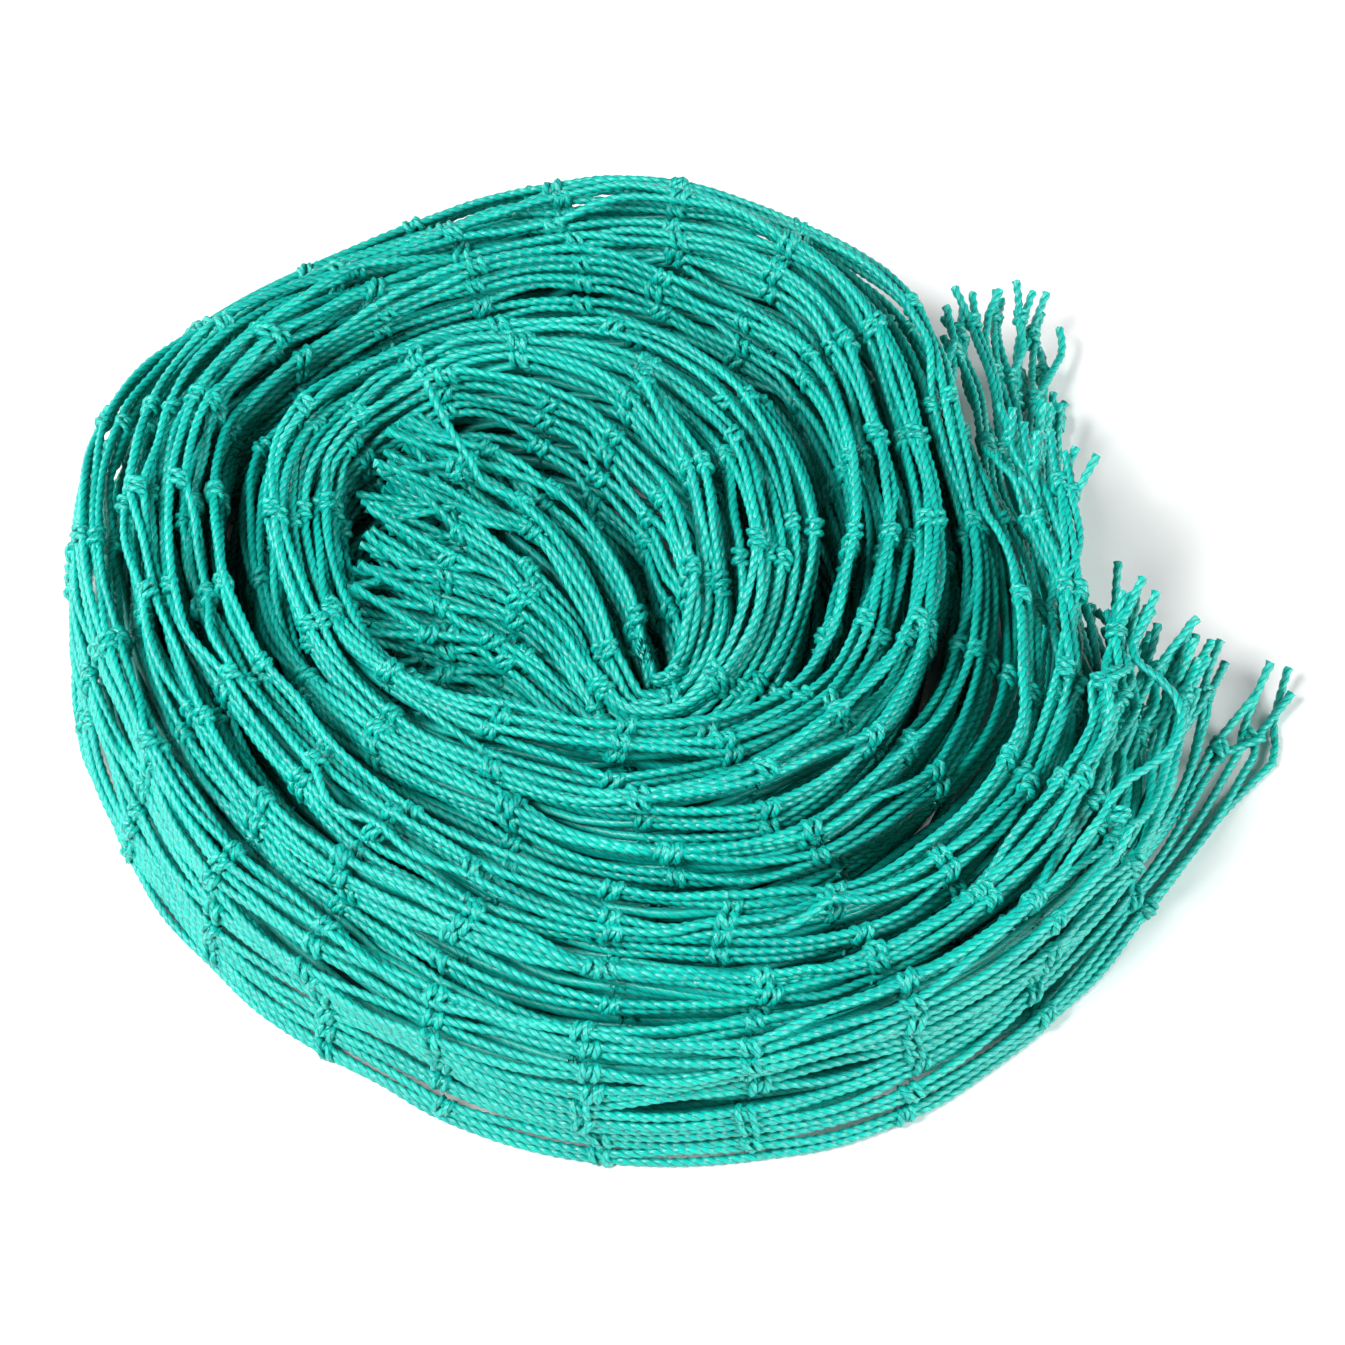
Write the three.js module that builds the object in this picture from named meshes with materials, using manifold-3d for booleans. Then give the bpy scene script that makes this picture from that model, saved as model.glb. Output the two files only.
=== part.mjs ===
// Ball stop net of knotted twine, drawn out lengthwise until its meshes close,
// pleated back and forth across its width and coiled on a flat surface.
// Millimetres, +Z up, origin under the middle of the coil, on the surface.
import * as THREE from "three";
import { mergeVertices } from "three/addons/utils/BufferGeometryUtils.js";
import Module from "manifold-3d";

// Twine and mesh
const TWINE = 2.0; // diameter of the laid twine
const BAR = 25; // twine from knot to knot
const KNOT = 3.5; // thickness of a row of knots

// Pleats: the net goes up and down PLEATS times between its two side edges
const PLEATS = 7;
const TOP_TAPER = 0.78; // the pleats close up towards their crests
const LEAN = 0.18; // and lean into the coil, as a share of the bundle's half width
const BEND_SHARE = 0.42; // height of a bend, as a share of the way between pleats
const FLAT_SHARE = 0.4; // half of the flat foot of a trough, as the same share
const SWAY_SHARE = 0.05; // how far a pleat sways, as the same share
const SWAY_WAVE = 150;
const SWAY_STEP = 1.7; // lag of the sway from pleat to pleat, in radians
const CREST_VARY = 0.07; // how much a crest rises and falls along the net
const PLEAT_CLEAR = 0.9; // least air between two pleats
const LEAST_WAY = TOP_TAPER * (1 - 2 * SWAY_SHARE); // least way between pleats, as a share of the mean way
// The crests from the outer side edge inwards. The last row is the inner side edge, which stands up.
const CRESTS = [
  { level: 0.84, wave: 190, phase: 0.4 },
  { level: 0.96, wave: 150, phase: 2.1 },
  { level: 0.98, wave: 170, phase: 4.0 },
  { level: 0.94, wave: 130, phase: 1.2 },
];

// The coil from its outer end inwards, clockwise from above. turn: degrees from +X,
// radius: middle of the bundle, half: half its width, crest: its height.
const COIL = [
  { turn: -57, radius: 147, half: 9.5, crest: 33 },
  { turn: -40, radius: 109, half: 9.5, crest: 34 },
  { turn: -27, radius: 96, half: 10, crest: 35 },
  { turn: -12, radius: 92.5, half: 10.5, crest: 36 },
  { turn: 5, radius: 94, half: 12.5, crest: 36 },
  { turn: 30, radius: 94, half: 14.5, crest: 36 },
  { turn: 60, radius: 92.5, half: 17, crest: 36 },
  { turn: 90, radius: 87, half: 19, crest: 36 },
  { turn: 120, radius: 79, half: 19.5, crest: 36 },
  { turn: 150, radius: 80, half: 19, crest: 37 },
  { turn: 180, radius: 89, half: 17, crest: 37 },
  { turn: 210, radius: 102, half: 16, crest: 39 },
  { turn: 240, radius: 101, half: 17, crest: 42 },
  { turn: 270, radius: 100.5, half: 19.5, crest: 44 },
  { turn: 300, radius: 87.5, half: 17, crest: 43 },
  { turn: 330, radius: 67, half: 15.5, crest: 40 },
  { turn: 360, radius: 57.5, half: 17, crest: 38 },
  { turn: 390, radius: 54, half: 17.5, crest: 37 },
  { turn: 420, radius: 52, half: 19.5, crest: 37 },
  { turn: 450, radius: 48.5, half: 17.5, crest: 37 },
  { turn: 480, radius: 45, half: 13, crest: 36 },
  { turn: 510, radius: 49.5, half: 9.5, crest: 34 },
  { turn: 540, radius: 60.5, half: 9.5, crest: 34 },
  { turn: 570, radius: 73.5, half: 10, crest: 38 },
  { turn: 600, radius: 70, half: 12, crest: 43 },
  { turn: 630, radius: 55.5, half: 16, crest: 45 },
  { turn: 660, radius: 39.5, half: 16, crest: 44 },
  { turn: 690, radius: 29.5, half: 16, crest: 42 },
  { turn: 720, radius: 25.5, half: 12.5, crest: 35 },
  { turn: 750, radius: 23.5, half: 10.5, crest: 28 },
];
// The inner end doubles back through the middle of the coil and fans out. base: lift of its underside,
// rise: how much higher its inner side is than its middle.
const INNER_END = [
  { x: 11.5, y: -17.5, half: 9.5, crest: 22, base: 0, rise: 0 },
  { x: 1.5, y: -16, half: 9.5, crest: 20, base: 0, rise: 0 },
  { x: -5.5, y: -8, half: 12, crest: 21, base: 2, rise: 1.5 },
  { x: -12, y: 1, half: 16.5, crest: 22.5, base: 4, rise: 3.5 },
  { x: -21, y: 8.5, half: 21, crest: 24, base: 6, rise: 5.5 },
  { x: -32, y: 14, half: 24.5, crest: 23.5, base: 7.5, rise: 7 },
  { x: -43, y: 18.5, half: 26.5, crest: 23, base: 8.5, rise: 8 },
  { x: -53, y: 22, half: 27.5, crest: 23, base: 9, rise: 8.5 },
];

// Ends of the net
const OUTER_LEAD = 4; // from the start of the table above to the innermost pleat's cut end
const OUTER_SLANT = 145; // the outermost pleat ends this much sooner
const OUTER_STEP = 0.22; // share across the net, from its inner side edge, where the end has stepped back half as much
const OUTER_STEEP = 2.6; // power of that step
const OUTER_TOP = 64; // the standing side edge of the innermost pleat ends this much sooner than its foot
const OUTER_TOP_SHARE = 0.17; // share across the net of that pleat
const INNER_LEAD = 18; // from the end of the table above to the innermost pleat's inner cut end
const INNER_SLANT = 18; // the outermost pleat ends this much sooner there too
const FLARE = 9; // how far the outer end spreads outwards
const FLARE_REACH = 46;
const FOOT_SPREAD = 19; // how far the feet of the innermost pleats spread there
const FOOT_REACH = 100;
const FOOT_LEVEL = 0.65; // level that stays in place, as a share of the crest
// Way from the net to the end row, along the twine. The outer end is cut so much on the slant that it needs more.
const OUTER_GAP = 4.6;
const INNER_GAP = 1;
const END_GATHER = 0.6; // from station to station where they are gathered at the outer end
const END_STRIP = 4; // the last row of knots, which holds the cut ends
const CUT_ENDS = 56; // at each end
const CUT_END = 11; // mean length of a cut twine end
const CUT_END_VARY = 3;
const CUT_END_WIDTH = 1.1;
const CUT_END_LIFT = 0.6; // mean lift of its tip
// Sideways travel of a cut end for each mm of its length
const OUTER_SPLAY = 0.3;
const INNER_SPLAY = 0.1;
const PAIR_SPLAY = 0.07; // how the two ends of one knot part

const TAU = 2 * Math.PI;
const TEAL = { color: 0x12b89e, roughness: 0.5, metalness: 0 };

// Path of the coil

const radians = (degrees) => (degrees * Math.PI) / 180;

const ROWS = [
  ...COIL.map(({ turn, radius, half, crest }) => ({
    x: radius * Math.cos(radians(turn)),
    y: -radius * Math.sin(radians(turn)),
    half,
    crest,
    base: 0,
    rise: 0,
  })),
  ...INNER_END,
];

// A column of the table as a smooth curve, at a place counted in rows.
function along(column, place) {
  const i = Math.min(Math.max(Math.floor(place), 0), ROWS.length - 2);
  const t = place - i;
  const value = (k) => ROWS[Math.min(Math.max(k, 0), ROWS.length - 1)][column];
  const [a, b, c, d] = [value(i - 1), value(i), value(i + 1), value(i + 2)];
  return 0.5 * (2 * b + (c - a) * t + (2 * a - 5 * b + 4 * c - d) * t * t + (3 * b - a - 3 * c + d) * t ** 3);
}

const PLACES_PER_ROW = 40;
const LENGTHS = [0];
for (let i = 1; i <= (ROWS.length - 1) * PLACES_PER_ROW; i++) {
  const [p, q] = [(i - 1) / PLACES_PER_ROW, i / PLACES_PER_ROW];
  LENGTHS.push(LENGTHS[i - 1] + Math.hypot(along("x", q) - along("x", p), along("y", q) - along("y", p)));
}
const NET_END = LENGTHS.at(-1) - INNER_LEAD;
const NET_START = 36; // where the outermost cut end lies
const ROW_COUNT = Math.round((NET_END - NET_START) / BAR);
const TIGHT_ROWS = 7; // rows of knots in the tight inner turn

// The place in rows that lies a length s along the path.
function placeAt(s) {
  let low = 0;
  let high = LENGTHS.length - 1;
  while (high - low > 1) {
    const middle = (low + high) >> 1;
    if (LENGTHS[middle] <= s) low = middle;
    else high = middle;
  }
  return (low + (s - LENGTHS[low]) / (LENGTHS[high] - LENGTHS[low])) / PLACES_PER_ROW;
}

// The bundle's middle, the level direction out of the coil, its heading and its sizes, a length s along the path.
function stationAt(s) {
  const place = placeAt(s);
  const step = 0.02;
  const heading = new THREE.Vector2(
    along("x", place + step) - along("x", place - step),
    along("y", place + step) - along("y", place - step),
  ).normalize();
  return {
    x: along("x", place),
    y: along("y", place),
    heading,
    outward: new THREE.Vector2(-heading.y, heading.x),
    half: along("half", place),
    crest: along("crest", place),
    base: Math.max(along("base", place), 0),
    rise: Math.max(along("rise", place), 0),
  };
}

// Pleated section

// Where the cut ends lie for a share w across the net, 0 at the outer side edge and 1 at the inner one.
const outerEnd = (w) => {
  const step = 1 - 1 / (1 + ((1 - w) / OUTER_STEP) ** OUTER_STEEP);
  const top = Math.max(1 - (1 - w) / OUTER_TOP_SHARE, 0) ** 1.5;
  return OUTER_LEAD + OUTER_SLANT * step + OUTER_TOP * top;
};
const innerEnd = (w) => NET_END - INNER_SLANT * (1 - w) ** 2;

// The pleated net in a section: points from the outer side edge to the inner one, each with the place of the
// net's two faces as [across, up], across being outwards.
function pleatSection(s, station, thick) {
  const reach = (station.half + PLEAT_CLEAR / 2) / (1 + LEAST_WAY / (PLEATS - 1));
  const way = (2 * reach) / (PLEATS - 1);
  const depth = Math.min(thick, LEAST_WAY * way - PLEAT_CLEAR);
  const edge = depth / 2;
  const bend = BEND_SHARE * way + edge;
  const level = (k) => {
    const { level: share, wave, phase } = CRESTS[k];
    return station.crest * (share + CREST_VARY * Math.sin((TAU * s) / wave + phase));
  };
  const foot = (k) => {
    const inside = k > 0 && k < PLEATS - 1;
    const sway = inside ? SWAY_SHARE * way * Math.sin((TAU * s) / SWAY_WAVE + SWAY_STEP * k) : 0;
    return reach - k * way + sway;
  };
  const across = (k, up) => {
    const share = up / station.crest;
    return foot(k) * (1 - (1 - TOP_TAPER) * share) - reach * LEAN * share;
  };
  const section = [{ face: [foot(0) + edge, 0], back: [foot(0) - edge, 0] }];
  for (let k = 1; k < PLEATS; k++) {
    if (k % 2) {
      const up = level((k - 1) / 2);
      const [a, b] = [across(k - 1, up), across(k, up)];
      const inside = up - depth - (a - b - depth) / 2;
      section.push({ face: [a + edge, up - bend], back: [a - edge, inside] });
      section.push({ face: [(a + b) / 2, up], back: [(a + b) / 2, up - depth] });
      section.push({ face: [b - edge, up - bend], back: [b + edge, inside] });
    } else {
      const [a, b] = [foot(k - 1), foot(k)];
      const room = (a - b - depth) / 2;
      const middle = (a + b) / 2;
      section.push({ face: [a - edge, depth + room], back: [a + edge, bend] });
      section.push({ face: [middle + room / 2, depth], back: [middle + FLAT_SHARE * way, 0] });
      section.push({ face: [middle - room / 2, depth], back: [middle - FLAT_SHARE * way, 0] });
      section.push({ face: [b + edge, depth + room], back: [b - edge, bend] });
    }
  }
  const up = level(CRESTS.length - 1);
  const rim = across(PLEATS - 1, up);
  section.push({ face: [rim + edge, up], back: [rim - edge, up] });
  return section;
}

// The share across the net at each point of the line, by the way along the line in a middling section.
const SHARES = [0];
const MIDDLING = pleatSection(0, { half: 15, crest: 36 }, TWINE);
for (let m = 1; m < MIDDLING.length; m++) {
  const [p, q] = [MIDDLING[m - 1].face, MIDDLING[m].face];
  SHARES.push(SHARES[m - 1] + Math.hypot(q[0] - p[0], q[1] - p[1]));
}
const LINE_POINTS = SHARES.length;
const LINE_LENGTH = SHARES.at(-1);
const shareAcross = (m) => SHARES[m] / LINE_LENGTH;

// How far the free outer end spreads outwards, at a length s and a height up, as a share of the crest.
function flareAt(s, w, up) {
  const beyond = s - outerEnd(w);
  const near = THREE.MathUtils.clamp(1 - beyond / FLARE_REACH, 0, 1.3);
  const feet = FOOT_SPREAD * w ** 4 * (1 - up / FOOT_LEVEL);
  return FLARE * (1 - w) ** 1.5 * near ** 2 + feet * THREE.MathUtils.smoothstep(FOOT_REACH - beyond, 0, FOOT_REACH);
}

// A point of the section as a place in space.
function inSpace(station, across, up) {
  return new THREE.Vector3(
    station.x + station.outward.x * across,
    station.y + station.outward.y * across,
    station.base + up - (station.rise * across) / station.half,
  );
}

// Point m of the section at a length s, from the net's face at side 1 to its back at side 0.
function sheetPoint(s, m, thick, side) {
  const station = stationAt(s);
  const { face, back } = pleatSection(s, station, thick)[m];
  const across = THREE.MathUtils.lerp(back[0], face[0], side);
  const up = THREE.MathUtils.lerp(back[1], face[1], side);
  return inSpace(station, across + flareAt(s, shareAcross(m), up / station.crest), up);
}

// Solids

// A closed strip of pleated net. lengthOf(j, w) gives the length along the path of station j.
function pleatedStrip(stations, lengthOf, thickOf) {
  const ring = 2 * LINE_POINTS;
  const positions = [];
  for (let j = 0; j < stations; j++) {
    for (let k = 0; k < ring; k++) {
      const side = k < LINE_POINTS ? 1 : 0;
      const m = side ? k : ring - 1 - k;
      const w = shareAcross(m);
      const p = sheetPoint(lengthOf(j, w), m, thickOf(j, w), side);
      positions.push(p.x, p.y, p.z);
    }
  }
  const faces = [];
  const quad = (a, b, c, d) => faces.push(a, b, c, a, c, d);
  for (let j = 0; j + 1 < stations; j++) {
    for (let k = 0; k < ring; k++) {
      const next = (k + 1) % ring;
      const [a, b, c, d] = [j * ring + k, j * ring + next, (j + 1) * ring + next, (j + 1) * ring + k];
      // Both faces of the net are split along the same diagonal, so that a twisted stretch keeps its thickness.
      if (k < LINE_POINTS) quad(a, b, c, d);
      else quad(b, c, d, a);
    }
  }
  const last = (stations - 1) * ring;
  for (let m = 0; m + 1 < LINE_POINTS; m++) {
    const other = ring - 1 - m;
    quad(m, other, other - 1, m + 1);
    quad(last + m, last + m + 1, last + other - 1, last + other);
  }
  const geometry = new THREE.BufferGeometry();
  geometry.setAttribute("position", new THREE.Float32BufferAttribute(positions, 3));
  geometry.setIndex(faces);
  return geometry;
}

const wasm = await Module();
wasm.setup();

function toSolid(geometry) {
  const bare = geometry.clone();
  bare.deleteAttribute("normal");
  bare.deleteAttribute("uv");
  const merged = mergeVertices(bare, 1e-4);
  return new wasm.Manifold(
    new wasm.Mesh({
      numProp: 3,
      vertProperties: new Float32Array(merged.attributes.position.array),
      triVerts: new Uint32Array(merged.index.array),
    }),
  );
}

function toGeometry(solid) {
  const { vertProperties, triVerts } = solid.getMesh();
  const geometry = new THREE.BufferGeometry();
  geometry.setAttribute("position", new THREE.Float32BufferAttribute(vertProperties, 3));
  geometry.setIndex([...triVerts]);
  return geometry;
}

// The coiled net, with a raised rib at each row of knots. The tight inner turn takes more stations. The stations
// that lie beyond the slanted outer end are gathered there.
function coiledNet() {
  const stations = [];
  for (let row = 0; row < ROW_COUNT; row++) {
    const steps = row < ROW_COUNT - TIGHT_ROWS ? 2 : 4;
    for (let k = 0; k < steps; k++) stations.push({ row: row + k / steps, knots: 2 * k === steps });
  }
  stations.push({ row: ROW_COUNT, knots: false });
  const rowAt = (j, w) => THREE.MathUtils.lerp(NET_START, innerEnd(w), stations[j].row / ROW_COUNT);
  const lengthOf = (j, w) => Math.max(rowAt(j, w), outerEnd(w) + END_GATHER * j);
  const ribAt = (j, w) => stations[j].knots && rowAt(j, w) > outerEnd(w) + BAR / 2;
  return pleatedStrip(stations.length, lengthOf, (j, w) => (ribAt(j, w) ? KNOT : TWINE));
}

// A steady spread of values between -1 and 1, one for each twine.
const uneven = (i, seed) => 2 * ((i * 0.618034 + seed) % 1) - 1;

// One cut twine end: a three-sided prism that bends once on its way from the root to the tip.
function cutEnd(root, run, lift) {
  const bend = root.clone().addScaledVector(run, 0.55);
  const tip = root.clone().add(run).add(lift);
  const section = new THREE.Shape();
  section.absellipse(0, 0, CUT_END_WIDTH / 2, CUT_END_WIDTH / 2, 0, TAU);
  const route = new THREE.CatmullRomCurve3([root, bend, tip]);
  return new THREE.ExtrudeGeometry(section, { steps: 2, curveSegments: 3, extrudePath: route });
}

// The last row of knots at one end of the net with its cut twine ends. towards: -1 at the outer end, 1 at the inner one.
function endFringe(endOf, gap, splayOf, towards) {
  const lengthOf = (j, w) => endOf(w) + towards * (gap + END_STRIP * (towards > 0 ? j : 1 - j));
  const strip = toSolid(pleatedStrip(2, lengthOf, () => TWINE));
  const pieces = [strip];
  for (let i = 0; i < CUT_ENDS; i++) {
    const w = (i + 0.5) / CUT_ENDS;
    const m = SHARES.findIndex((way) => way > w * LINE_LENGTH);
    const part = (w - shareAcross(m - 1)) / (shareAcross(m) - shareAcross(m - 1));
    const middle = (k) => sheetPoint(lengthOf(0.5, shareAcross(k)), k, TWINE, 0.5);
    const root = middle(m - 1).lerp(middle(m), part);
    const { heading, outward } = stationAt(lengthOf(0.5, w));
    const length = 0.5 * END_STRIP + CUT_END + CUT_END_VARY * uneven(i, 0.3);
    const side = splayOf(w) + PAIR_SPLAY * (i % 2 ? 1 : -1);
    const run = new THREE.Vector3(
      towards * heading.x + side * outward.x,
      towards * heading.y + side * outward.y,
      0,
    ).multiplyScalar(length);
    const lift = new THREE.Vector3(0, 0, CUT_END_LIFT * (1 + 0.3 * uneven(i, 0.7)));
    pieces.push(toSolid(cutEnd(root, run, lift)));
  }
  return toGeometry(wasm.Manifold.union(pieces));
}

// The part

const net = new THREE.Group();
const material = () => new THREE.MeshStandardMaterial(TEAL);
const pieces = {
  net_coil: coiledNet(),
  outer_end_fringe: endFringe(outerEnd, OUTER_GAP, (w) => OUTER_SPLAY * (1 - w), -1),
  inner_end_fringe: endFringe(innerEnd, INNER_GAP, (w) => INNER_SPLAY * (1 + 3 * w), 1),
};
for (const [name, geometry] of Object.entries(pieces)) {
  geometry.computeVertexNormals();
  const mesh = new THREE.Mesh(geometry, material());
  mesh.name = name;
  net.add(mesh);
}

// Sets the origin under the middle of the part.
const box = new THREE.Box3().setFromObject(net);
net.children.forEach((mesh) => {
  mesh.position.set(-(box.min.x + box.max.x) / 2, -(box.min.y + box.max.y) / 2, -box.min.z);
});

export default net;
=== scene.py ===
import math

import bpy
import numpy as np
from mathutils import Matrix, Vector
from mathutils.bvhtree import BVHTree


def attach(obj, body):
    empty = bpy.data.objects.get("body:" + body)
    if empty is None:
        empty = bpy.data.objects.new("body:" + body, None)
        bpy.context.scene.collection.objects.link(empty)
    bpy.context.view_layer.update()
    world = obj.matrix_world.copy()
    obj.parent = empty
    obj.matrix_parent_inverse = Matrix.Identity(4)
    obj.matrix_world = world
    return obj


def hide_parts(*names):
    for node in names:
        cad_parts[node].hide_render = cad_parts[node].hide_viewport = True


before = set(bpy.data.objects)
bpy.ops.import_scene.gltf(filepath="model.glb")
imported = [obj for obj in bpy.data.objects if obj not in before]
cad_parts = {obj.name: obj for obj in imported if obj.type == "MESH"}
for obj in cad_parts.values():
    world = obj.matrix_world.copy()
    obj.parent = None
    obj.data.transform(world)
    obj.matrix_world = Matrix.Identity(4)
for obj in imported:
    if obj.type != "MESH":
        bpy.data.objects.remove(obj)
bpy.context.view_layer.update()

# The net as it was put away: drawn out lengthwise until its meshes close, pleated back and forth across its
# width, and wound clockwise into a loose coil. Its inner end doubles back through the middle and fans out.
# Millimetres, measured along the middle of the bundle from the outer end.
TAU = 2 * math.pi
MM = 0.001
TWINE = 2.0
BAR = 25.0
PLEATS = 7
TOP_TAPER = 0.78
LEAN = 0.18
BEND_SHARE = 0.42
FLAT_SHARE = 0.4
SWAY_SHARE, SWAY_WAVE, SWAY_STEP = 0.05, 150.0, 1.7
CREST_VARY = 0.07
PLEAT_CLEAR = 0.9
LEAST_WAY = TOP_TAPER * (1 - 2 * SWAY_SHARE)
CREST_LEVEL_WAVE_PHASE = ((0.84, 190, 0.4), (0.96, 150, 2.1), (0.98, 170, 4.0), (0.94, 130, 1.2))
COIL_TURN_RADIUS_HALF_CREST = np.array((
    (-57, 147, 9.5, 33), (-40, 109, 9.5, 34), (-27, 96, 10, 35), (-12, 92.5, 10.5, 36),
    (5, 94, 12.5, 36), (30, 94, 14.5, 36), (60, 92.5, 17, 36), (90, 87, 19, 36),
    (120, 79, 19.5, 36), (150, 80, 19, 37), (180, 89, 17, 37), (210, 102, 16, 39),
    (240, 101, 17, 42), (270, 100.5, 19.5, 44), (300, 87.5, 17, 43), (330, 67, 15.5, 40),
    (360, 57.5, 17, 38), (390, 54, 17.5, 37), (420, 52, 19.5, 37), (450, 48.5, 17.5, 37),
    (480, 45, 13, 36), (510, 49.5, 9.5, 34), (540, 60.5, 9.5, 34), (570, 73.5, 10, 38),
    (600, 70, 12, 43), (630, 55.5, 16, 45), (660, 39.5, 16, 44), (690, 29.5, 16, 42),
    (720, 25.5, 12.5, 35), (750, 23.5, 10.5, 28),
))
INNER_X_Y_HALF_CREST_BASE_RISE = np.array((
    (11.5, -17.5, 9.5, 22, 0, 0), (1.5, -16, 9.5, 20, 0, 0), (-5.5, -8, 12, 21, 2, 1.5),
    (-12, 1, 16.5, 22.5, 4, 3.5), (-21, 8.5, 21, 24, 6, 5.5), (-32, 14, 24.5, 23.5, 7.5, 7),
    (-43, 18.5, 26.5, 23, 8.5, 8), (-53, 22, 27.5, 23, 9, 8.5),
))
NET_START = 36.0
OUTER_LEAD, OUTER_SLANT, OUTER_STEP, OUTER_STEEP = 4.0, 145.0, 0.22, 2.6
OUTER_TOP, OUTER_TOP_SHARE, OUTER_TOP_POWER = 64.0, 0.17, 1.5
INNER_LEAD, INNER_SLANT = 18.0, 18.0
# Near the outer end the loose pairs at the outer side edge flare out, and the innermost feet spread.
FLARE, FLARE_REACH, FLARE_MOST, FLARE_POWER = 13.0, 40.0, 1.3, 24
FOOT_SPREAD, FOOT_LEVEL, FOOT_REACH, FOOT_POWER = 19.0, 0.54, 140.0, 4
# How far the feet of the innermost and of the outermost pleats slump over the floor, by row of the path.
INNER_SLUMP_ROW_REACH = np.array((
    (12, 0), (13, 8), (14, 12), (14.7, 9), (15.5, 3), (16.5, 0),
    (20, 0), (21.5, 10), (23, 10), (24.5, 12), (26, 15), (27, 13), (28, 10), (29, 5), (30, 0),
))
OUTER_SLUMP_ROW_REACH = np.array(((14.8, 0), (15.5, 8), (16.3, 8), (17.2, 0)))
SLUMP_SHARE, SLUMP_STEP, SLUMP_POWER = 0.24, 0.1, 1.5
OUTER_KNOTS, INNER_KNOTS = 6.6, 3.0
# The coil's middle in the part's frame, whose origin lies under the middle of the part's box.
COIL_MIDDLE = np.array((-7.528759, -6.928150, 0.0))

turns, radii, halves, crests = COIL_TURN_RADIUS_HALF_CREST.T
level_ground = np.zeros_like(turns)
PATH_ROWS = np.vstack((
    np.stack((radii * np.cos(np.radians(turns)), -radii * np.sin(np.radians(turns)), halves, crests,
              level_ground, level_ground), 1),
    INNER_X_Y_HALF_CREST_BASE_RISE,
))


def along_path(place):
    """Every column of the path's table as a smooth curve, at places counted in rows."""
    row = np.clip(np.floor(place).astype(int), 0, len(PATH_ROWS) - 2)
    part = (place - row)[..., None]
    before, start, stop, after = (PATH_ROWS[np.clip(row + step, 0, len(PATH_ROWS) - 1)]
                                  for step in (-1, 0, 1, 2))
    return 0.5 * (2 * start + (stop - before) * part
                  + (2 * before - 5 * start + 4 * stop - after) * part**2
                  + (3 * start - before - 3 * stop + after) * part**3)


PATH_STEPS = 40
PLACES = np.arange((len(PATH_ROWS) - 1) * PATH_STEPS + 1) / PATH_STEPS
LENGTHS = np.append(0, np.cumsum(np.linalg.norm(np.diff(along_path(PLACES)[:, :2], axis=0), axis=1)))
NET_END = LENGTHS[-1] - INNER_LEAD
ROW_COUNT = round((NET_END - NET_START) / BAR)


def outer_end(share):
    step = 1 - 1 / (1 + ((1 - share) / OUTER_STEP)**OUTER_STEEP)
    top = np.maximum(1 - (1 - share) / OUTER_TOP_SHARE, 0)**OUTER_TOP_POWER
    return OUTER_LEAD + OUTER_SLANT * step + OUTER_TOP * top


def inner_end(share):
    return NET_END - INNER_SLANT * (1 - share)**2


def pleat_line(length, half, crest):
    """The middle of the net in a section, as (across, up) from its outer side edge to its inner one."""
    reach = (half + PLEAT_CLEAR / 2) / (1 + LEAST_WAY / (PLEATS - 1))
    way = 2 * reach / (PLEATS - 1)
    depth = np.minimum(TWINE, LEAST_WAY * way - PLEAT_CLEAR)
    bend = BEND_SHARE * way + depth / 2
    levels = [crest * (level + CREST_VARY * np.sin(TAU * length / wave + phase))
              for level, wave, phase in CREST_LEVEL_WAVE_PHASE]
    feet = [reach - leg * way for leg in range(PLEATS)]
    for leg in range(1, PLEATS - 1):
        feet[leg] = feet[leg] + SWAY_SHARE * way * np.sin(TAU * length / SWAY_WAVE + SWAY_STEP * leg)

    def across(leg, up):
        return feet[leg] * (1 - (1 - TOP_TAPER) * up / crest) - reach * LEAN * up / crest

    line = [(feet[0], 0 * length)]
    for leg in range(1, PLEATS):
        if leg % 2:
            up = levels[leg // 2]
            outer, inner = across(leg - 1, up), across(leg, up)
            shoulder = (up - bend + up - depth - (outer - inner - depth) / 2) / 2
            line += [(outer, shoulder), ((outer + inner) / 2, up - depth / 2), (inner, shoulder)]
        else:
            outer, inner = feet[leg - 1], feet[leg]
            room = (outer - inner - depth) / 2
            shoulder = (depth + room + bend) / 2
            spread = (room / 2 + FLAT_SHARE * way) / 2
            middle = (outer + inner) / 2
            line += [(outer, shoulder), (middle + spread, depth / 2), (middle - spread, depth / 2),
                     (inner, shoulder)]
    line.append((across(PLEATS - 1, levels[-1]), levels[-1]))
    return np.stack([np.stack(np.broadcast_arrays(*point), -1) for point in line], -2)


# A usual section, whose line gives the net's width and the share of it that each stretch of the line has.
USUAL_HALF, USUAL_CREST = 15.0, 36.0
usual_line = pleat_line(np.zeros(1), np.full(1, USUAL_HALF), np.full(1, USUAL_CREST))[0]
SHARES = np.append(0, np.cumsum(np.linalg.norm(np.diff(usual_line, axis=0), axis=1)))
NET_WIDTH = SHARES[-1]
SHARES /= NET_WIDTH
HEADING_STEP = 0.02


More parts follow.
